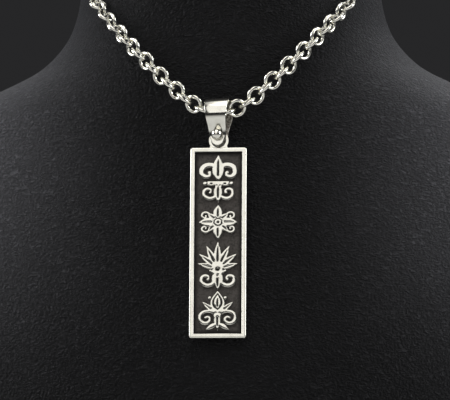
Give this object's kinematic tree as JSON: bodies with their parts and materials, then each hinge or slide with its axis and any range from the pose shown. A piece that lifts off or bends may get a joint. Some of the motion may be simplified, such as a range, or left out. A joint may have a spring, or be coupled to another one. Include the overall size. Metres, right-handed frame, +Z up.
{
  "type": "nameplate necklace on a neck bust",
  "caption": "Silver chain necklace with a tall framed nameplate pendant, hung over a plain dark neck bust.",
  "frame": {"origin": "on the flat base of the neck bust, under the middle of its neck", "axes": "+Z up, the pendant faces -Y, +X to the right as seen from the front"},
  "size_m": [0.1826, 0.1192, 0.2067],
  "materials": {
    "bust_leather": "fine pebble grain, satin",
    "chain_silver": "polished silver",
    "clasp_silver": "polished silver",
    "bail_silver": "polished silver",
    "plate_silver": "polished silver, sunk field blackened"
  },
  "bodies": {
    "display": {"neck_bust": "bust_leather", "chain_left": "chain_silver", "chain_right": "chain_silver", "clasp": "clasp_silver"},
    "bail_body": {"bail": "bail_silver"},
    "plate_body": {"nameplate": "plate_silver"}
  },
  "joints": [
    {"name": "bail_swing", "type": "hinge", "parent": "display", "child": "bail_body", "pos_m": [0, -0.05078, 0.10923], "axis": [-1, 0, 0], "range_deg": [0, 33]},
    {"name": "plate_swing", "type": "hinge", "parent": "bail_body", "child": "plate_body", "pos_m": [0, -0.05184, 0.10406], "axis": [0, -0.9797, 0.2004], "range_deg": [-20, 20]}
  ]
}
